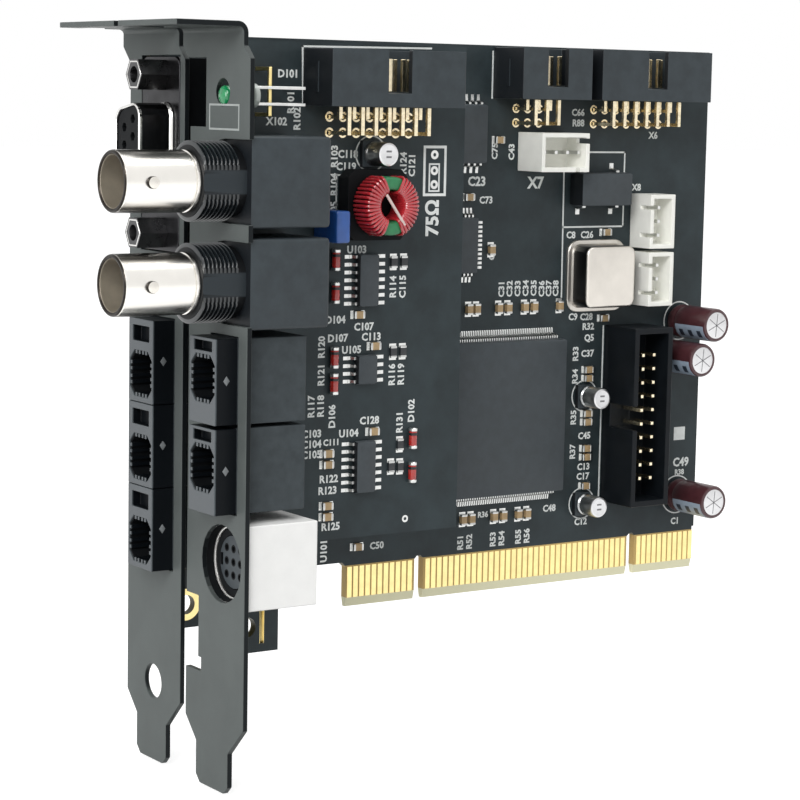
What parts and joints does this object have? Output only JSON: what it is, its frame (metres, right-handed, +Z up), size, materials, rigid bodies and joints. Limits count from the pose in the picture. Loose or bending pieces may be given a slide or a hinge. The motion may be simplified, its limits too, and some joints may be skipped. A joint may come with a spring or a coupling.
{
  "type": "computer audio interface card",
  "caption": "Plug-in digital audio card for a computer slot, with a second smaller board, slot brackets, coaxial, optical and multi-way sockets, box headers and chips.",
  "frame": {"origin": "outer face of the main slot bracket, in the plane of the main board's component side, level with the bottom of the card-edge tongue", "axes": "+X along the boards away from the brackets, +Y from the component side to the solder side, +Z up from the card edge to the bracket's tab"},
  "size_m": [0.1389, 0.0413, 0.12],
  "materials": {
    "board": "glass-fibre board under a near-black solder mask",
    "bracket": "satin black coating on steel",
    "gold": "gold plating",
    "nickel": "bright nickel plating",
    "tin": "tin plating",
    "black_plastic": "moulded, fine matte",
    "chip_body": "moulded epoxy, matte",
    "ivory_plastic": "moulded nylon",
    "white_plastic": "moulded, semi-matte",
    "lamp": "clear tinted epoxy",
    "core": "coated ferrite",
    "enamelled_wire": "enamel on copper",
    "blue_coating": "dipped lacquer",
    "sleeve": "shrunk sleeve",
    "can": "drawn can",
    "chip_ceramic": "fired ceramic",
    "diode_glass": "tinted glass"
  },
  "bodies": {
    "root": {"can_capacitor_bases": "black_plastic", "can_capacitor_cans": "can", "chip_parts": "chip_ceramic", "choke_base": "black_plastic", "choke_core": "core", "choke_winding": "enamelled_wire", "clock_chip": "chip_body", "clock_chip_leads": "tin", "coax_barrel_lower": "nickel", "coax_barrel_upper": "nickel", "coax_body_lower": "black_plastic", "coax_body_upper": "black_plastic", "coax_centre_contacts": "gold", "coax_insulators": "white_plastic", "d_connector_insulator": "black_plastic", "d_connector_shell": "nickel", "edge_contacts": "gold", "expansion_board": "board", "expansion_bracket": "bracket", "expansion_header_pins": "gold", "expansion_header_shroud": "black_plastic", "expansion_optical_socket_lower": "black_plastic", "expansion_optical_socket_upper": "black_plastic", "film_capacitor": "blue_coating", "four_way_socket": "ivory_plastic", "glass_diodes": "diode_glass", "indicator_lamp": "lamp", "jackscrews": "nickel", "lamp_legs": "tin", "logic_array_chip": "chip_body", "logic_array_leads": "tin", "long_header_pins": "gold", "long_header_shroud": "black_plastic", "main_board": "board", "main_bracket": "bracket", "main_optical_socket_lower": "black_plastic", "main_optical_socket_middle": "black_plastic", "main_optical_socket_upper": "black_plastic", "memory_chip": "chip_body", "memory_chip_leads": "tin", "oscillator_can": "nickel", "pulse_transformer": "chip_body", "pulse_transformer_leads": "tin", "radial_capacitors": "sleeve", "round_connector_body": "white_plastic", "round_connector_insert": "black_plastic", "round_connector_ring": "nickel", "short_header_pins": "gold", "short_header_shroud": "black_plastic", "small_chip_leads": "tin", "small_chips": "chip_body", "socket_pins": "gold", "three_way_socket_lower": "ivory_plastic", "three_way_socket_upper": "ivory_plastic", "upright_header_pins": "gold", "upright_header_shroud": "black_plastic", "wire_strap": "gold"}
  },
  "joints": []
}
